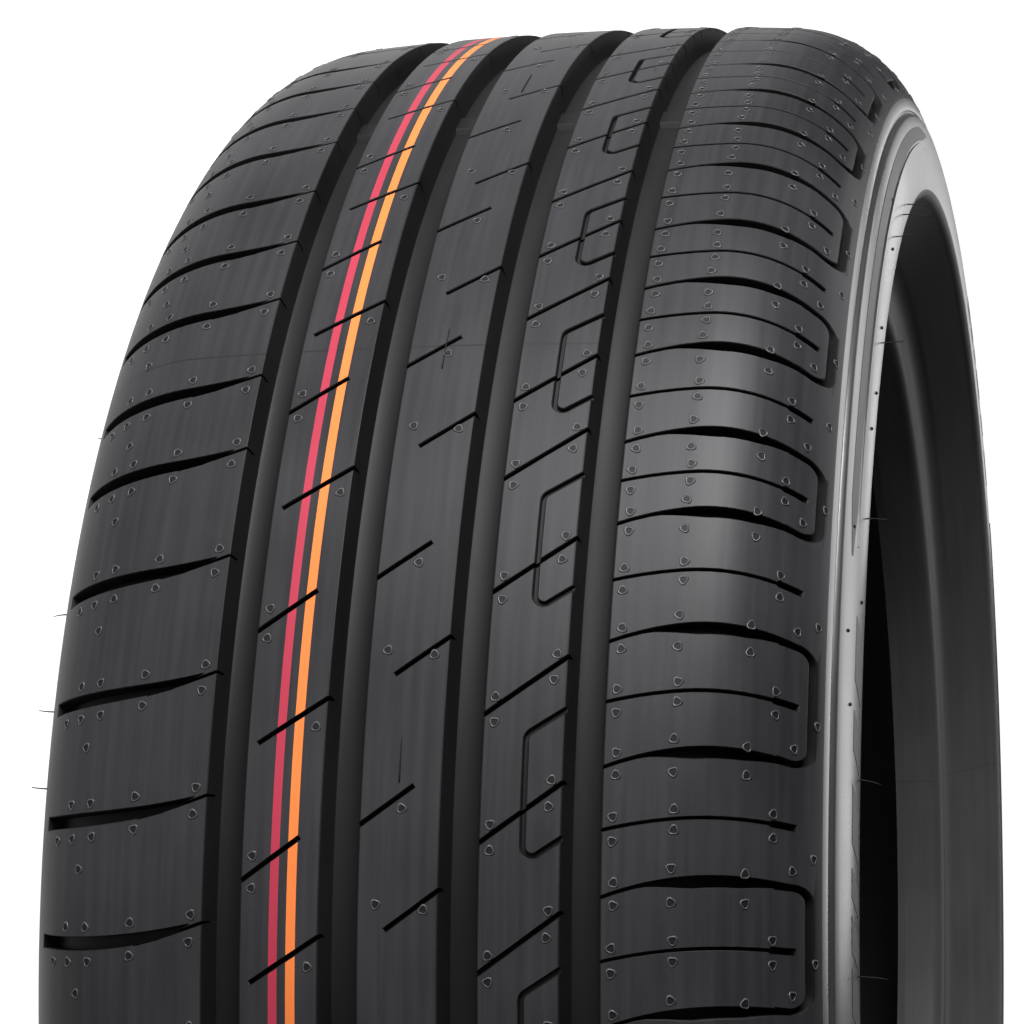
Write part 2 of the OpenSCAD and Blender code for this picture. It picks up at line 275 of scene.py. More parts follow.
def rubber_group():
    group = bpy.data.node_groups.new("rubber_skin", "ShaderNodeTree")
    face = group.interface
    face.new_socket("Dark", in_out="INPUT", socket_type="NodeSocketColor")
    face.new_socket("Light", in_out="INPUT", socket_type="NodeSocketColor")
    face.new_socket("Streaks", in_out="INPUT", socket_type="NodeSocketFloat")
    face.new_socket("Rough", in_out="INPUT", socket_type="NodeSocketFloat")
    face.new_socket("Spread", in_out="INPUT", socket_type="NodeSocketFloat")
    face.new_socket("Color", in_out="OUTPUT", socket_type="NodeSocketColor")
    face.new_socket("Roughness", in_out="OUTPUT", socket_type="NodeSocketFloat")
    face.new_socket("Height", in_out="OUTPUT", socket_type="NodeSocketFloat")
    make = group.nodes.new

    def maths(operation, value=None):
        node = make("ShaderNodeMath")
        node.operation = operation
        if value is not None:
            node.inputs[1].default_value = value
        return node

    def noise(scale, detail):
        node = make("ShaderNodeTexNoise")
        node.inputs["Scale"].default_value = scale
        node.inputs["Detail"].default_value = detail
        return node

    def stretch(low, high):
        node = make("ShaderNodeMapRange")
        node.inputs["From Min"].default_value = low
        node.inputs["From Max"].default_value = high
        return node

    inputs, outputs = make("NodeGroupInput"), make("NodeGroupOutput")
    place = make("ShaderNodeTexCoord")
    # Streaks follow the turn of the tyre: fine across, long round it.
    split = make("ShaderNodeSeparateXYZ")
    link(group, place.outputs["Object"], split.inputs[0])
    turn = maths("ARCTAN2")
    link(group, split.outputs["Y"], turn.inputs[0])
    link(group, split.outputs["X"], turn.inputs[1])
    wound = make("ShaderNodeCombineXYZ")
    across, along = maths("MULTIPLY", 420), maths("MULTIPLY", 5)
    link(group, split.outputs["Z"], across.inputs[0])
    link(group, turn.outputs[0], along.inputs[0])
    link(group, across.outputs[0], wound.inputs["X"])
    link(group, along.outputs[0], wound.inputs["Y"])
    streak = noise(1.0, 3)
    link(group, wound.outputs[0], streak.inputs["Vector"])
    # Clouds for the release agent, and a fine grain for the surface.
    drift, grain = noise(14, 5), noise(900, 2)
    link(group, place.outputs["Object"], drift.inputs["Vector"])
    link(group, place.outputs["Object"], grain.inputs["Vector"])
    lines, clouds = stretch(0.35, 0.75), stretch(0.3, 0.7)
    link(group, streak.outputs["Fac"], lines.inputs["Value"])
    link(group, drift.outputs["Fac"], clouds.inputs["Value"])
    weighed = maths("MULTIPLY")
    link(group, lines.outputs[0], weighed.inputs[0])
    link(group, inputs.outputs["Streaks"], weighed.inputs[1])
    mix = maths("MULTIPLY_ADD", 0.5)
    link(group, clouds.outputs[0], mix.inputs[0])
    link(group, weighed.outputs[0], mix.inputs[2])
    # A seam lies at every eighth of the turn; it keeps the dark colour.
    shifted = maths("ADD", math.radians(-7.5))
    link(group, turn.outputs[0], shifted.inputs[0])
    away = maths("PINGPONG", math.radians(22.5))
    link(group, shifted.outputs[0], away.inputs[0])
    clear = maths("GREATER_THAN", 0.0009)
    link(group, away.outputs[0], clear.inputs[0])
    kept = maths("MULTIPLY")
    link(group, mix.outputs[0], kept.inputs[0])
    link(group, clear.outputs[0], kept.inputs[1])
    tint = make("ShaderNodeMix")
    tint.data_type = "RGBA"
    link(group, kept.outputs[0], tint.inputs["Factor"])
    link(group, inputs.outputs["Dark"], tint.inputs["A"])
    link(group, inputs.outputs["Light"], tint.inputs["B"])
    rough = maths("MULTIPLY_ADD")
    link(group, clouds.outputs[0], rough.inputs[0])
    link(group, inputs.outputs["Spread"], rough.inputs[1])
    link(group, inputs.outputs["Rough"], rough.inputs[2])
    link(group, tint.outputs["Result"], outputs.inputs["Color"])
    link(group, rough.outputs[0], outputs.inputs["Roughness"])
    link(group, grain.outputs["Fac"], outputs.inputs["Height"])
    return group


RUBBER_SKIN = rubber_group()
print("group", RUBBER_SKIN.name)

# %% [markdown]
# Each rubber is the same group with its own values. The grooves and the cuts
# wear a near-black copy of the tread rubber, painted shade in the recesses,
# and stay matt; the liner inside the ring is painted shade as well. The sidewall
# is smoother and glossier, and the painted stripes are matt, with rubber grain
# showing through.

# %% Rubbers and paints
def rubber(name, dark, light, streaks, rough, spread, bump, gloss):
    material = bpy.data.materials.new(name)
    material.use_nodes = True
    tree = material.node_tree
    skin = tree.nodes.new("ShaderNodeGroup")
    skin.node_tree = RUBBER_SKIN
    skin.inputs["Dark"].default_value = (*dark, 1)
    skin.inputs["Light"].default_value = (*light, 1)
    skin.inputs["Streaks"].default_value = streaks
    skin.inputs["Rough"].default_value = rough
    skin.inputs["Spread"].default_value = spread
    shader = tree.nodes["Principled BSDF"]
    shader.inputs["Specular IOR Level"].default_value = gloss
    raised = tree.nodes.new("ShaderNodeBump")
    raised.inputs["Strength"].default_value = bump
    raised.inputs["Distance"].default_value = 0.0002
    link(tree, skin.outputs["Color"], shader.inputs["Base Color"])
    link(tree, skin.outputs["Roughness"], shader.inputs["Roughness"])
    link(tree, skin.outputs["Height"], raised.inputs["Height"])
    link(tree, raised.outputs["Normal"], shader.inputs["Normal"])
    return material


SKINS = {
    "tread": rubber("tread_rubber", (0.0065, 0.0063, 0.0069),
                    (0.0175, 0.0168, 0.0192), 0.4, 0.36, 0.10, 0.08, 0.08),
    # Near-black copy of the tread rubber: painted shade for the walls and floors of
    # grooves and cuts.
    "groove": rubber("groove_rubber_painted_shade", (0.002, 0.002, 0.0022),
                     (0.005, 0.005, 0.0052), 0.2, 0.5, 0.1, 0.08, 0.08),
    "wall": rubber("sidewall_rubber", (0.012, 0.012, 0.013),
                   (0.026, 0.0255, 0.028), 0.2, 0.26, 0.08, 0.03, 0.6),
    "bead": rubber("bead_rubber", (0.022, 0.022, 0.023),
                   (0.042, 0.042, 0.044), 0.3, 0.46, 0.10, 0.06, 0.12),
    # Lighter copy of the rubber for the vent marks' rings: painted highlight on a real
    # raised ring.
    "mark": rubber("mark_rubber_painted_highlight", (0.018, 0.018, 0.019),
                   (0.034, 0.033, 0.036), 0.0, 0.34, 0.05, 0.03, 0.25),
    "matt": rubber("matt_rubber", (0.012, 0.012, 0.013),
                   (0.022, 0.022, 0.024), 0.0, 0.44, 0.08, 0.15, 0.25),
    # Near-black copy of the rubber for the inside of the ring: painted shade.
    "liner": rubber("liner_rubber_painted_shade", (0.002, 0.002, 0.002),
                    (0.004, 0.004, 0.004), 0.2, 0.6, 0.1, 0.2, 0.12),
    "red": rubber("red_paint", (0.150, 0.0115, 0.023), (0.185, 0.015, 0.029),
                  0.3, 0.45, 0.1, 0.08, 0.1),
    "orange": rubber("orange_paint", (0.30, 0.076, 0.017), (0.365, 0.094, 0.022),
                     0.3, 0.45, 0.1, 0.08, 0.1),
}
SKIN_NAMES = list(SKINS)
print("materials", SKIN_NAMES)

# %% [markdown]
# ## The body of the tyre
# A closed ring that follows a section is made as on a lathe. A circle with as
# many points as the outline has corners is added, its points are moved to the
# outline, and the spin tool turns it round the axis.

# %% Spin the section
TURNS = 216


def fresh():
    """Nothing is selected and nothing is in edit mode."""
    if bpy.context.object and bpy.context.object.mode == "EDIT":
        bpy.ops.object.mode_set(mode="OBJECT")
    bpy.ops.object.select_all(action="DESELECT")


def only(piece):
    fresh()
    piece.select_set(True)
    bpy.context.view_layer.objects.active = piece


def outwards(piece):
    only(piece)
    bpy.ops.object.mode_set(mode="EDIT")
    bpy.ops.mesh.select_all(action="SELECT")
    bpy.ops.mesh.normals_make_consistent(inside=False)
    bpy.ops.object.mode_set(mode="OBJECT")


fresh()
bpy.ops.mesh.primitive_circle_add(vertices=len(ring), radius=1,
                                  fill_type="NOTHING")
tyre = bpy.context.object
tyre.name = "tyre_rubber"
for vertex, (p, skin) in zip(tyre.data.vertices, ring):
    vertex.co = (p[0] * MM, 0, p[1] * MM)
bpy.ops.object.mode_set(mode="EDIT")
bpy.ops.mesh.select_all(action="SELECT")
bpy.ops.mesh.spin(steps=TURNS, angle=2 * math.pi, center=(0, 0, 0),
                  axis=(0, 0, 1))
bpy.ops.mesh.select_all(action="SELECT")
bpy.ops.mesh.remove_doubles(threshold=0.00001)
bpy.ops.object.mode_set(mode="OBJECT")
outwards(tyre)
for skin in SKIN_NAMES:
    tyre.data.materials.append(SKINS[skin])
print(len(tyre.data.polygons), "faces after the spin")

# %% [markdown]
# Each face lies on one stretch of the outline. The middle of that stretch is
# looked up to find which skin the face wears.

# %% Give each face its skin
def centres(mesh):
    spots = np.zeros(len(mesh.polygons) * 3)
    mesh.polygons.foreach_get("center", spots)
    return spots.reshape(-1, 3) / MM


corners = np.array([p for p, skin in ring])
middles = (corners + np.roll(corners, -1, axis=0)) / 2
number = np.array([SKIN_NAMES.index(skin) for p, skin in ring])
spots = centres(tyre.data)
flat = np.column_stack([np.hypot(spots[:, 0], spots[:, 1])
                        / math.cos(math.pi / TURNS), spots[:, 2]])
nearest = np.array([np.argmin(((middles - q) ** 2).sum(1)) for q in flat])
tyre.data.polygons.foreach_set("material_index", number[nearest])
tyre.data.update()
print("faces per skin", dict(zip(SKIN_NAMES, np.bincount(number[nearest]))))

# %% [markdown]
# ## The tread pattern
# The pattern has large, middle and small pitches in a mixed order, which is
# how a real tyre spreads its noise over many tones. All grooves and sipes of
# one kind have the same shape, so each is modelled once, as a cutter, and
# copied to every pitch. Plans are drawn as [distance from the pattern's
# middle, distance round the tread].

# %% Pitches
FIRST_TURN, PITCH_BLOCKS = 4.6, 3
SHARE = {"L": 1.0, "M": 0.87, "S": 0.75}
ORDER = "LLLLSMSSMSSSLLMSMLMLLM"
steps = [SHARE[c] for c in ORDER] * PITCH_BLOCKS
PITCHES = len(steps)
starts = [FIRST_TURN + 360 * sum(steps[:i]) / sum(steps)
          for i in range(PITCHES + 1)]


def pitch_length(i):
    return math.radians(starts[i + 1] - starts[i]) * TYRE_R


print(PITCHES, "pitches of", sorted({round(pitch_length(i), 1)
                                     for i in range(PITCHES)}), "mm")

# %% [markdown]
# A cutter is a ribbon that is laid on the tread and pushed down into it. It
# starts as a grid of two rows, one for each edge of the ribbon. Its faces are
# extruded twice, which gives three layers: a top one just above the rubber, a
# neck just below it, and the floor. The top layer is a little wider, so every
# cut gets a soft lip that catches the light.

# %% Cutters
def on_surface(u, v, height):
    """Place in metres of a plan's point at the middle of the front."""
    y = u + PATTERN_AT
    r, t = surface(y)
    turn = v / r
    r += height * cos(t)
    z = y + height * sin(t) * math.copysign(1, y)
    return Vector((-r * math.cos(turn) * MM, r * math.sin(turn) * MM, z * MM))


def offset(line, other, k, e):
    """Point k of an edge, moved by e away from the other edge and the ends."""
    a, b = line[max(k - 1, 0)], line[min(k + 1, len(line) - 1)]
    along = (Vector(b) - Vector(a)).normalized()
    side = Vector((-along.y, along.x))
    if side.dot(Vector(other[k]) - Vector(line[k])) > 0:
        side = -side
    ends = {0: -1, len(line) - 1: 1}.get(k, 0)
    return Vector(line[k]) + side * e + along * ends * e


def cutter(name, first, second, depth, lip=0.25, foot=0.15):
    """A ribbon between two edges, cut down to a depth."""
    n = len(first)
    fresh()
    bpy.ops.mesh.primitive_grid_add(x_subdivisions=n - 1, y_subdivisions=1,
                                    size=2)
    piece = bpy.context.object
    piece.name = name
    bpy.ops.object.mode_set(mode="EDIT")
    bpy.ops.mesh.select_mode(type="FACE")
    bpy.ops.mesh.select_all(action="SELECT")
    for layer in (1, 2):
        bpy.ops.mesh.extrude_region_move(
            TRANSFORM_OT_translate={"value": (0, 0, 1)})
    bpy.ops.object.mode_set(mode="OBJECT")
    layers = [(lip + 0.4, 2 * lip + 0.4), (-lip, 0), (-depth, -foot)]
    for vertex in piece.data.vertices:
        k = round((vertex.co.x + 1) * (n - 1) / 2)
        height, e = layers[round(vertex.co.z)]
        line, other = (first, second) if vertex.co.y < 0 else (second, first)
        u, v = offset(line, other, k, e)
        vertex.co = on_surface(u, v, height)
    # Every cut wears the dark groove skin, which is painted shade inside the cut.
    for face in piece.data.polygons:
        face.material_index = SKIN_NAMES.index("groove")
    for skin in SKIN_NAMES:
        piece.data.materials.append(SKINS[skin])
    outwards(piece)
    return piece


def ribbon(path, width):
    """Both edges of a path, half the width to each side of it."""
    first, second = [], []
    for k, p in enumerate(path):
        a, b = path[max(k - 1, 0)], path[min(k + 1, len(path) - 1)]
        along = (Vector(b) - Vector(a)).normalized()
        w = width[k] if isinstance(width, list) else width
        side = Vector((-along.y, along.x)) * w / 2
        first.append(tuple(Vector(p) + side))
        second.append(tuple(Vector(p) - side))
    return first, second


def slanted(start, reach, slant):
    rise = math.tan(math.radians(slant))
    return [(start[0] + reach * k, start[1] + reach * rise * k)
            for k in (0, 0.5, 1)]


def finer(path, step=4.5):
    """The path with more points, so that a cutter bends with the tread."""
    points = [path[0]]
    for a, b in zip(path, path[1:]):
        n = math.ceil(math.dist(a, b) / step)
        points += [(a[0] + (b[0] - a[0]) * k / n, a[1] + (b[1] - a[1]) * k / n)
                   for k in range(1, n + 1)]
    return points


EDGE = GROOVE_W / 2 - 0.6
SIPE_W, THIN_W, SLANT, SIPE_DEPTH = 1.1, 0.8, 36, 4
OUTER_TURN, INNER_TURN, LEFT_TURN, RIGHT_TURN = 4.1, 7.1, 6.8, 4.0
full_start = 16.3 + EDGE
sipes = {
    "full_sipe": slanted((full_start, -0.7), 48.8 - EDGE - full_start, SLANT),
    "outer_sipe": slanted((-48.8 + EDGE, 0.3), 16.6, SLANT),
    "inner_sipe": slanted((-16.3 - EDGE, -0.3), -19.6, SLANT - 3),
    "left_sipe": slanted((-16.3 + EDGE, 0.3), 15.1, SLANT),
    "right_sipe": slanted((16.3 - EDGE, -0.3), -15.1, SLANT),
}
print("sipes", {name: [tuple(round(x, 1) for x in p) for p in path]
                for name, path in sipes.items()})

# %% [markdown]
# Grooves of the shoulders are bowed. The upper ones swell from a thin slit to
# a groove and taper again, the thin sipes between them end in a short foot,
# and the lower ones are wedges whose tip runs past a thin sipe, with a sliver
# of rubber between the two.

# %% Plans of the shoulders
SHOULDER_DEPTH, UPPER_TURN, LOWER_TURN = 4.5, -2.45, 2.3
CHANNEL_W, CHANNEL_DEPTH, LOOP_W, LOOP_DEPTH = 1.6, 2.6, 1.3, 1.4


def bow(x, top, spread):
    return top - (x - 84) ** 2 / spread


def swell(x):
    stations = [(51, THIN_W), (65, 0.9), (70, 1.9), (77, 3.2), (90, 2.9),
                (98, 1.7), (103, 1.4)]
    return float(np.interp(x, *zip(*stations)))


upper_at = [51.5, 58, 63, 66, 69, 72, 75, 78, 81, 84, 87, 90, 93, 95.5, 98, 100,
            102]
upper = ([(x, bow(x, 5.5, 160)) for x in upper_at],
         [(x, bow(x, 5.5, 160) - swell(x)) for x in upper_at])
thin_at = [51.5, 57, 62, 67, 72, 76, 80, 84, 88, 92, 96.6, 97.2, 100, 102.8]
thin = ribbon([(x, bow(x, 3.6, 243)) for x in thin_at],
              [THIN_W] * 11 + [1.7] * 3)


def lower_top(x):
    return -4.8 + (x - 95) ** 2 / 345


def lower_under(x):
    return max(-8.5 + (x - 95) ** 2 / 245,
               lower_top(x) - 3.9 * (x - 58) / 12 - 0.12)


lower_at = [106.4, 103, 100, 97, 94, 91, 88, 85, 82, 79, 76, 73, 70, 67, 63, 58]
lower = ([(-x, lower_top(x)) for x in lower_at],
         [(-x, lower_under(x)) for x in lower_at])
tail = ribbon([(-74, -6.6), (-69, -5.4), (-63, -3.5), (-57, -1.45), (-51.5, 0.5)],
              [THIN_W] * 5)


def corner_points(centre, r, a, b, n):
    return [(centre[0] + r * cos(a + (b - a) * k / n),
             centre[1] + r * sin(a + (b - a) * k / n)) for k in range(n + 1)]


def channel_path(length):
    """Round the outer ends of two grooves that are a pitch apart."""
    x, r, y = 105.8, 4.2, length / 2 * 0.94
    low = corner_points((x - r, 2.8 - y + r), r, -90, 0, 5)
    high = corner_points((x - r, 2.8 + y - r), r, 0, 90, 5)
    return [(98, 3.4 - y)] + low + [(x, 2.8)] + high + [(98, 3.4 + y)]


def loop_path(length):
    """Round line in the rib beside the upper shoulder."""
    reach, x, r, rise = 48.8 - EDGE, 33.3, 2.6, math.tan(math.radians(SLANT))
    start, end = 1.5 - length / 2, length / 2 + 1.5
    low = corner_points((x + r, start - (reach - x) * rise + r * 2.1), r,
                        270 + SLANT / 2, 180, 5)
    high = corner_points((x + r, end - (reach - x) * rise - r * 0.2), r,
                         180, 90 + SLANT, 4)
    return [(reach, start)] + low + high + [(reach, end)]


print("channel", len(channel_path(34)), "points, loop", len(loop_path(34)))

# %% [markdown]
# Cutters that touch each other go into different passes, because a boolean
# wants its cutter free of pieces that run through each other.

# %% Model each cutter and copy it round the tread
def at_turn(piece, turn):
    """A copy of a cutter with its own mesh, turned to its pitch."""
    copy = piece.copy()
    copy.data = piece.data.copy()
    copy.data.transform(Matrix.Rotation(-math.radians(turn), 4, "Z"))
    scene.collection.objects.link(copy)
    return copy


shapes = {name: cutter(name, *ribbon(path, SIPE_W), SIPE_DEPTH)
          for name, path in sipes.items()}
shapes["upper_groove"] = cutter("upper_groove", *upper, SHOULDER_DEPTH)
shapes["thin_sipe"] = cutter("thin_sipe", *thin, SIPE_DEPTH, 0.2)
shapes["lower_groove"] = cutter("lower_groove", *lower, SHOULDER_DEPTH, 0.2)
shapes["lower_tail"] = cutter("lower_tail", *tail, SHOULDER_DEPTH, 0.15)
passes = [[], []]
for i in range(PITCHES):
    length = pitch_length(i)
    middle = (starts[i] + starts[i + 1]) / 2
    passes[0] += [at_turn(shapes["full_sipe"], starts[i]),
                  at_turn(shapes["upper_groove"], starts[i] + UPPER_TURN),
                  at_turn(shapes["thin_sipe"], middle + UPPER_TURN),
                  at_turn(shapes["lower_groove"], starts[i] + LOWER_TURN)]
    passes[1].append(at_turn(shapes["lower_tail"], starts[i] + LOWER_TURN))
    if i % 2 == 0:
        passes[0] += [at_turn(shapes["outer_sipe"], starts[i] + OUTER_TURN),
                      at_turn(shapes["inner_sipe"], starts[i + 1] + INNER_TURN),
                      at_turn(shapes["left_sipe"], starts[i] + LEFT_TURN),
                      at_turn(shapes["right_sipe"], starts[i] + RIGHT_TURN)]
        name = f"channel_{length:.1f}"
        if name not in shapes:
            path = ribbon(finer(channel_path(length), 3), CHANNEL_W)
            shapes[name] = cutter(name, *path, CHANNEL_DEPTH, 0.3)
        passes[1].append(at_turn(shapes[name], middle + UPPER_TURN))
    else:
        name = f"loop_{length:.1f}"
        if name not in shapes:
            path = ribbon(finer(loop_path(length)), LOOP_W)
            shapes[name] = cutter(name, *path, LOOP_DEPTH, 0.3)
        passes[1].append(at_turn(shapes[name], middle))
print([len(p) for p in passes], "cutters in two passes")

# %% [markdown]
# The cutters of a pass are joined and taken out of the tyre in one go. The
# boolean's manifold solver does this in seconds, and it asks for closed
# meshes, which is why the cutters and the tyre have no open edge.

# %% Cut the pattern
for k, cutters in enumerate(passes):
    only(cutters[0])
    for piece in cutters:
        piece.select_set(True)
    bpy.ops.object.join()
    tool = bpy.context.object
    only(tyre)
    cut = tyre.modifiers.new(f"pass_{k}", "BOOLEAN")
    cut.operation, cut.solver, cut.object = "DIFFERENCE", "MANIFOLD", tool
    bpy.ops.object.modifier_apply(modifier=cut.name)
    bpy.data.objects.remove(tool)
for piece in shapes.values():
    bpy.data.objects.remove(piece)
tyre.data.calc_loop_triangles()
print(len(tyre.data.polygons), "faces,", len(tyre.data.loop_triangles),
      "triangles")

# %% [markdown]
# After the cuts the curved skin is made of odd-shaped faces, which would
# shade in patches. The outer skin gets its normals from the outline's own
# slope instead, so it shades as the smooth curve it stands for. The walls of
# the cuts keep the normals of their faces.

# %% Smooth shading
only(tyre)
bpy.ops.object.shade_smooth_by_angle(angle=math.radians(28))
mesh = tyre.data
face_normals = np.zeros(len(mesh.polygons) * 3)
mesh.polygons.foreach_get("normal", face_normals)
face_normals = face_normals.reshape(-1, 3)
points = np.zeros(len(mesh.vertices) * 3)
mesh.vertices.foreach_get("co", points)
points = points.reshape(-1, 3)
levels = np.linspace(0, CORNER[1], 400)
slopes = np.array([surface(y)[1] for y in levels])
radii = np.array([surface(y)[0] for y in levels])
slope = np.radians(np.interp(np.abs(points[:, 2]) / MM, levels, slopes))
around = np.arctan2(points[:, 1], points[:, 0])
smooth = np.column_stack([np.cos(slope) * np.cos(around),
                          np.cos(slope) * np.sin(around),
                          np.sin(slope) * np.sign(points[:, 2])])
depth = (np.interp(np.abs(points[:, 2]) / MM, levels, radii)
         - np.hypot(points[:, 0], points[:, 1]) / MM)
on_skin = (np.abs(points[:, 2]) / MM < CORNER[1] - 0.5) & (depth < 0.15)
normals = np.zeros((len(mesh.loops), 3))
for face in mesh.polygons:
    loops = range(face.loop_start, face.loop_start + face.loop_total)
    verts = [mesh.loops[k].vertex_index for k in loops]
    along_skin = smooth[verts] @ face_normals[face.index]
    if on_skin[verts].all() and along_skin.min() > 0.99:
        normals[list(loops)] = smooth[verts]
mesh.normals_split_custom_set(normals.tolist())
print(int((np.abs(normals).sum(1) > 0).sum()), "corners follow the curve")

# %% [markdown]
# ## Wear bars
# Low bars cross the round grooves at five places. When the tread has worn down
# to them, the tyre is finished. Each is a block with sloping ends, cut to the
# curve of the groove's floor.

# %% Wear bars
def join(pieces, name):
    only(pieces[0])
    for piece in pieces:
        piece.select_set(True)
    bpy.ops.object.join()
    joined = bpy.context.object
    joined.name = name
    return joined


def bar(y, turn):
    """A low block on the floor of the groove at height y."""
    fresh()
    bpy.ops.mesh.primitive_cube_add(size=1)
    piece = bpy.context.object
    floor = surface(y)[0] - GROOVE_DEPTH
    for vertex in piece.data.vertices:
        up = vertex.co.z > 0
        r = floor + (1.6 if up else -1.0)
        half = 8.5 / r / 2 if up else 13 / r / 2
        a = math.radians(turn) + math.copysign(half, vertex.co.x)
        z = y + vertex.co.y * (GROOVE_W - 2.0)
        vertex.co = (-r * math.cos(a) * MM, r * math.sin(a) * MM, z * MM)
    outwards(piece)
    only(piece)
    bpy.ops.object.mode_set(mode="EDIT")
    bpy.ops.mesh.select_all(action="SELECT")
    bpy.ops.mesh.bevel(offset=0.0004, segments=2, affect="EDGES")
    bpy.ops.object.mode_set(mode="OBJECT")
    return piece


bars = join([bar(y, 72 * k - 12) for k in range(5) for y in GROOVES],
            "wear_bars")
# The bars wear the dark groove rubber, which is painted shade of the groove's floor.
bars.data.materials.append(SKINS["groove"])
print(len(bars.data.polygons), "faces of wear bars")

# %% [markdown]
# ## Marks of the mould's vents
# Air leaves a tyre mould through tiny spring vents, and each prints a small
# rounded triangle on the rubber. They sit in pairs above and below every
# sipe. One ring is modelled and copied, with its own mesh at every place.

# %% One vent mark
def vent_mark():
    fresh()
    bpy.ops.mesh.primitive_torus_add(major_segments=12, minor_segments=3,
                                     major_radius=1.15, minor_radius=0.3)
    ring_piece = bpy.context.object
    for vertex in ring_piece.data.vertices:
        a = math.atan2(vertex.co.y, vertex.co.x)
        k = 1 + 0.15 * math.cos(3 * a)
        vertex.co = (vertex.co.x * k, vertex.co.y * k, vertex.co.z * 0.8)
    bpy.ops.object.shade_smooth()
    # The dark hexagon in the middle is painted shade: a disc of the dark groove rubber
    # where the mark's hollow centre lies in shadow.
    bpy.ops.mesh.primitive_circle_add(vertices=6, radius=0.86,
                                      fill_type="NGON", location=(0, 0, 0.03))
    dark = bpy.context.object
    # The ring wears the lighter mark rubber, a painted highlight; the disc wears the dark
    # groove rubber.
    for piece in (dark, ring_piece):
        piece.data.materials.append(SKINS["mark"])
        piece.data.materials.append(SKINS["groove"])
    dark.data.polygons[0].material_index = 1
    return join([ring_piece, dark], "vent_mark")


def place_mark(piece, u, v, turn, spin):
    """A copy of the mark, laid on the tread's surface."""
    copy = piece.copy()
    copy.data = piece.data.copy()
    y = u + PATTERN_AT
    r, t = surface(y)
    a = math.radians(turn) + v / r
    out = Vector((-cos(t) * math.cos(a), cos(t) * math.sin(a),
                  math.copysign(sin(t), y)))
    up = Vector((math.sin(a), math.cos(a), 0))
    side = up.cross(out)
    base = Vector((-r * math.cos(a), r * math.sin(a), y))
    turned = Matrix((side, up, out)).transposed() @ Matrix.Rotation(spin, 3, "Z")
    copy.data.transform(Matrix.Translation(base * MM)
                        @ turned.to_4x4() @ Matrix.Scale(MM, 4))
    scene.collection.objects.link(copy)
    return copy


mark = vent_mark()
print(len(mark.data.polygons), "faces in one mark")

# %% [markdown]
# The marks stand at the same places of every pitch. Each is turned by chance
# round its own middle, as the springs of the vents are. The chance is seeded,
# so the tyre comes out the same each time.

# %% Marks round the tread
dice = random.Random(7)
around_wide = [(57.5, 3.3), (57.5, -2.6), (72.5, 7.2), (72.5, -1.6), (91, 6.0),
               (91, -1.6), (102, 7.0)]
around_thin = [(57, 3.4), (57, -3.0), (73, 5.6), (73, 0.2), (97.5, 5.4),
               (97.5, -0.9)]
around_lower = [(-57.5, 1.6), (-58, -5.6), (-75, -0.8), (-75, -9.6), (-89, -2.2),
                (-96, -2.2), (-88, -11.4), (-95, -11.6), (-101, -11.6), (-92, -20)]
marks = []
for i in range(PITCHES):
    middle = (starts[i] + starts[i + 1]) / 2
    outer, inner = starts[i] + OUTER_TURN, starts[i + 1] + INNER_TURN
    left, right = starts[i] + LEFT_TURN, starts[i] + RIGHT_TURN
    spots = [(u, v, starts[i] + UPPER_TURN) for u, v in around_wide]
    spots += [(u, v, middle + UPPER_TURN) for u, v in around_thin]
    spots += [(u, v, starts[i] + LOWER_TURN) for u, v in around_lower]
    spots += [(24.5, 4.6, starts[i]), (24.5, -2.2, starts[i]),
              (40.5, 16.4, starts[i]), (40, 9.4, starts[i])]
    if i % 2 == 0:
        spots += [(-40.5, 7.4, outer), (-40.5, -1.2, outer),
                  (-24.5, -8.6, inner), (0.4, 5.2, left),
                  (-6, -4.5, right), (7, -5.8, right),
                  (107, 2, starts[i]), (106.6, 14, starts[i] + 3)]
    marks += [place_mark(mark, u, v, turn, dice.uniform(0, 6.28))
              for u, v, turn in spots]
bpy.data.objects.remove(mark)
vents = join(marks, "vent_marks")
print(len(marks), "marks,", len(vents.data.polygons), "faces")

# %% [markdown]
# ## Fields on the sidewall
# The upper sidewall carries plain matt fields: a long band with a bright rib
# beside it, and a row of short slanted bars. Each is a thin plate that follows
# the wall's arc. The same group of fields stands at three places of the turn.

# %% Fields
def field(turns, radii, height, skin, taper=0.0, slant=0.0):
    """A thin plate on the upper sidewall between two turns and two radii."""
    fresh()
    n = math.ceil((turns[1] - turns[0]) / 1.2) + 1
    bpy.ops.mesh.primitive_grid_add(x_subdivisions=n, y_subdivisions=3, size=2)
    piece = bpy.context.object
    bpy.ops.object.mode_set(mode="EDIT")
    bpy.ops.mesh.select_mode(type="FACE")
    bpy.ops.mesh.select_all(action="SELECT")
    bpy.ops.mesh.extrude_region_move(TRANSFORM_OT_translate={"value": (0, 0, 1)})
    bpy.ops.object.mode_set(mode="OBJECT")
    for vertex in piece.data.vertices:
        k, m = (vertex.co.x + 1) / 2, vertex.co.y / 2
        along = (turns[1] - turns[0]) * min(k, 1 - k)
        wide = min(1, 0.15 + along / taper) if taper else 1
        r = (radii[0] + radii[1]) / 2 + m * wide * (radii[1] - radii[0])
        r, y = wall_point(r, height if vertex.co.z > 0.5 else -0.5)
        a = math.radians(turns[0] + (turns[1] - turns[0]) * k + slant * m)
        vertex.co = (-r * math.cos(a) * MM, r * math.sin(a) * MM, y * MM)
    piece.data.materials.append(SKINS[skin])
    outwards(piece)
    return piece


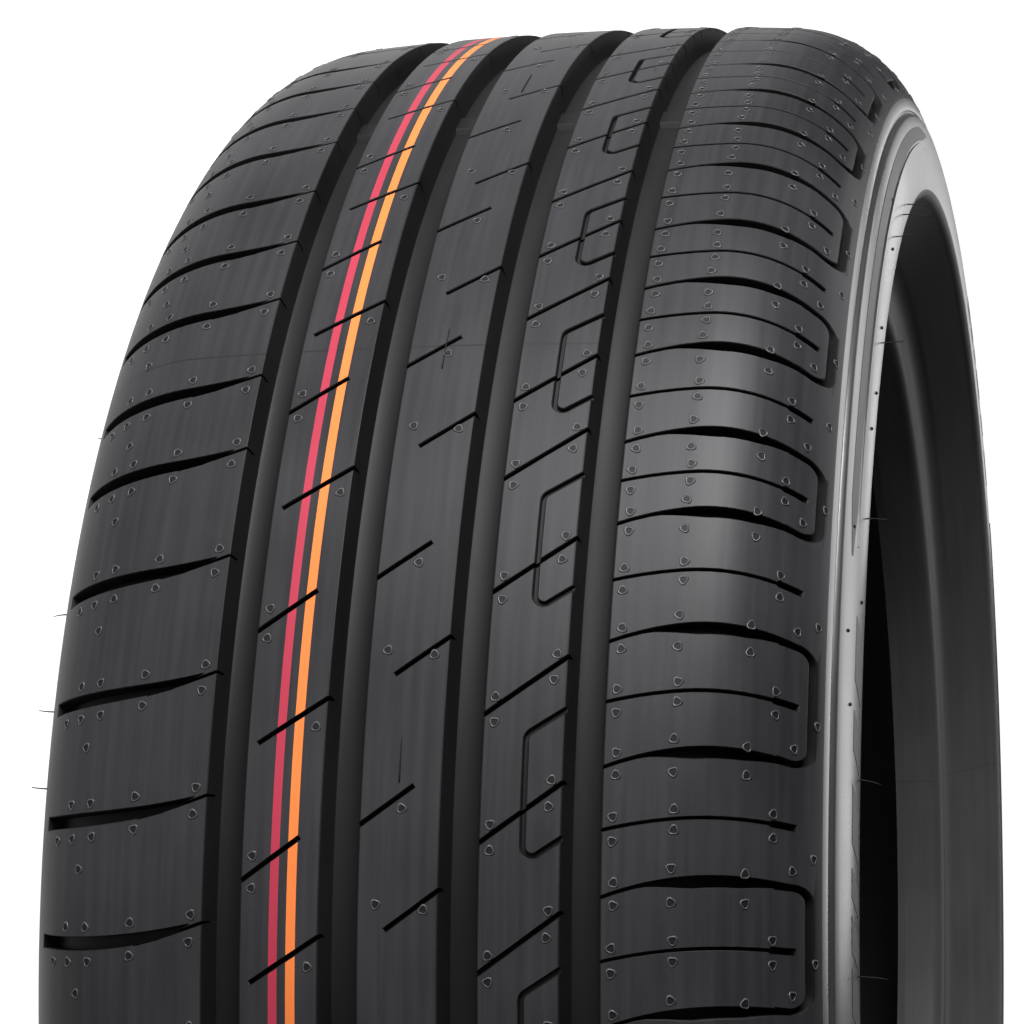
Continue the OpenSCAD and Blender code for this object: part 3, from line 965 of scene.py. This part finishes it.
WALL_BARS = [(20.6, 24.6), (16.4, 18.8), (11.0, 14.4), (7.9, 9.6), (4.8, 6.9),
             (1.2, 4.0)]
plates = []
for third in (0, 120, 240):
    plates += [field((a + third, b + third), (270.5, 262.5), 0.1, "matt", 0,
                     -1.2) for a, b in WALL_BARS]
    plates.append(field((28.5 + third, 88 + third), (278.9, 274.2), 0.12,
                        "matt", 4))
    plates.append(field((29.5 + third, 87 + third), (273.4, 271.2), 0.5,
                        "wall", 3))
fields = join(plates, "wall_fields")
only(fields)
bpy.ops.object.shade_smooth_by_angle(angle=math.radians(35))
print(len(plates), "fields,", len(fields.data.polygons), "faces")

# %% [markdown]
# ## Vent hairs
# Where rubber ran into a vent hole it left a thin hair. Hairs stand out along
# the axis on both sides of the tyre, and three lie flat on the middle rib.
# Beside them, the sidewall carries a few small round dots.

# %% Hairs
HAIRS = [(32.6, 88, 6.0, -0.05), (15.6, 90, 6.0, -0.12), (3.9, 90, 8.0, -0.06),
         (48.1, 90, 6.5, 0.04), (69, 90, 6.5, -0.05), (66.5, 90, 9.0, -0.10),
         (61, 88, 6.0, 0.10), (18.7, -70, 5.0, 0.05), (14.2, -70, 6.5, 0.08),
         (24.4, -67, 4.0, -0.05), (37.8, -76, 3.5, 0.10), (-60, 88, 6, 0.05),
         (160, -70, 6, 0.07), (236, -72, 5, -0.05), (310, -70, 6, 0.06)]
FLAT = [(13.6, 12.5), (36.0, 14.5), (61.4, 16.0)]
DOTS = [(23.7, 75.5), (19.5, 78.4), (30.4, 76.4), (61.9, 78.4), (58.0, 86.0),
        (48.6, 86.5), (42.7, 88.0), (39.2, 86.0), (26.5, 86.0)]


def skin_point(t, turn, lift=0.0):
    """Place in millimetres on the skin, where its slope is t."""
    low, start, r = ((SHOULDER, SHOULDER_SLOPE, CORNER_ARC)
                     if abs(t) <= CORNER_SLOPE
                     else (CORNER, CORNER_SLOPE, WALL_ARC))
    p = arc(low, r, start, abs(t), 1)[0]
    a, side = math.radians(turn), math.copysign(1, t)
    return Vector((-(p[0] + lift * cos(t)) * math.cos(a),
                   (p[0] + lift * cos(t)) * math.sin(a),
                   side * (p[1] + lift * sin(abs(t)))))


def hair(base, out, up, length, bend):
    """A thin hair that leaves its base along out and bends towards up."""
    fresh()
    bpy.ops.mesh.primitive_circle_add(vertices=6, radius=0.22, fill_type="NGON")
    piece = bpy.context.object
    bpy.ops.object.mode_set(mode="EDIT")
    bpy.ops.mesh.select_all(action="SELECT")
    for k in range(5):
        bpy.ops.mesh.extrude_region_move(TRANSFORM_OT_translate={
            "value": (bend * k * 0.2, bend * k, length / 5)})
        bpy.ops.transform.resize(value=(0.9, 0.9, 1))
    bpy.ops.object.mode_set(mode="OBJECT")
    turned = Matrix((up.cross(out), up, out)).transposed()
    piece.data.transform(Matrix.Translation(base * MM)
                         @ turned.to_4x4() @ Matrix.Scale(MM, 4))
    outwards(piece)
    return piece


pieces = []
for turn, t, length, bend in HAIRS:
    # The root of a hair lies inside the rubber, so no gap shows.
    pieces.append(hair(skin_point(t, turn, -0.8),
                       Vector((0, 0, math.copysign(1, t))),
                       Vector((0, 1, 0)), length + 0.8, bend))
for turn, length in FLAT:
    a = math.radians(turn)
    outward = Vector((-math.cos(a), math.sin(a), 0))
    pieces.append(hair(outward * (TYRE_R + 0.1) + Vector((0, 0, 0.8)),
                       Vector((math.sin(a), math.cos(a), 0)), outward,
                       length, -0.03))
for turn, t in DOTS:
    fresh()
    bpy.ops.mesh.primitive_uv_sphere_add(
        segments=8, ring_count=6, radius=0.55 * MM,
        location=skin_point(t, turn, 0) * MM)
    bpy.ops.object.transform_apply(location=True, rotation=True, scale=True)
    pieces.append(bpy.context.object)
hairs = join(pieces, "vent_hairs")
hairs.data.materials.append(SKINS["groove"])
only(hairs)
bpy.ops.object.shade_smooth()
print(len(HAIRS) + len(FLAT), "hairs and", len(DOTS), "dots")

# %% [markdown]
# ## Riding on the part
# Every piece rides on the part's one body. The smooth tyre stands for the CAD
# node, and the wear bars, marks, fields and hairs belong to the same rubber.

# %% Hand the pieces to the frame
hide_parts("tyre")
added = (bars, vents, fields, hairs)
for piece in (tyre, *added):
    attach(piece, "root")
print("pieces", [piece.name for piece in (tyre, *added)])

# %% [markdown]
# ## Floor and light
# The tyre lies on its lower sidewall on a plain pale floor. The light is a
# studio's: a soft panel beyond the picture's upper edge and a weak one nearer
# to the tread, and three behind the tyre that the near sidewall mirrors. The
# floor glows like a light table, so it stays white to its far edge.

# %% Stage
def glowing(name, color, rough, seen, lit):
    """A floor that glows by one strength to the eye and another on the part."""
    material = bpy.data.materials.new(name)
    material.use_nodes = True
    shader = material.node_tree.nodes["Principled BSDF"]
    shader.inputs["Base Color"].default_value = (*color, 1)
    shader.inputs["Roughness"].default_value = rough
    shader.inputs["Specular IOR Level"].default_value = 0.0
    shader.inputs["Emission Color"].default_value = (1, 1, 1, 1)
    path = material.node_tree.nodes.new("ShaderNodeLightPath")
    glow = material.node_tree.nodes.new("ShaderNodeMapRange")
    glow.inputs["To Min"].default_value = lit
    glow.inputs["To Max"].default_value = seen
    link(material.node_tree, path.outputs["Is Camera Ray"], glow.inputs["Value"])
    link(material.node_tree, glow.outputs[0], shader.inputs["Emission Strength"])
    return material


fresh()
bpy.ops.mesh.primitive_plane_add(size=60, location=(0, 0, cad_box[0][2]))
floor = bpy.context.object
floor.name = "floor"
floor.data.materials.append(glowing("pale_floor", (0.3, 0.3, 0.3), 0.9, 1.0, 0.7))
world = bpy.data.worlds.new("studio")
scene.world = world
world.use_nodes = True
sky = world.node_tree.nodes["Background"]
sky.inputs["Color"].default_value = (1, 1, 1, 1)
sky.inputs["Strength"].default_value = 0.05


def panel(name, place, aim, size, power):
    fresh()
    bpy.ops.object.light_add(type="AREA", location=place)
    light = bpy.context.object
    light.name = name
    light.data.shape = "RECTANGLE"
    light.data.size, light.data.size_y = size
    light.data.energy = power
    towards = Vector(aim) - Vector(place)
    light.rotation_euler = towards.to_track_quat("-Z", "Y").to_euler()
    return light


panel("top_panel", (-0.9, 1.4, 0.4), (-0.25, 0, 0), (0.8, 0.8), 86)
panel("front_panel", (-0.72, 0.62, 0.05), (-0.29, 0.12, 0), (0.35, 0.5), 6)
panel("over_panel", (0.6, 0.1, 1.4), (0, 0, 0.1), (0.7, 0.7), 1.2)
panel("side_panel", (1.38, 0.46, 1.34), (-0.28, 0.08, 0.11), (1.5, 0.75), 12)
panel("low_panel", (1.73, 0.4, 0.54), (-0.2, 0.1, 0.11), (0.6, 0.35), 1.7)
print("stage and lights are set")
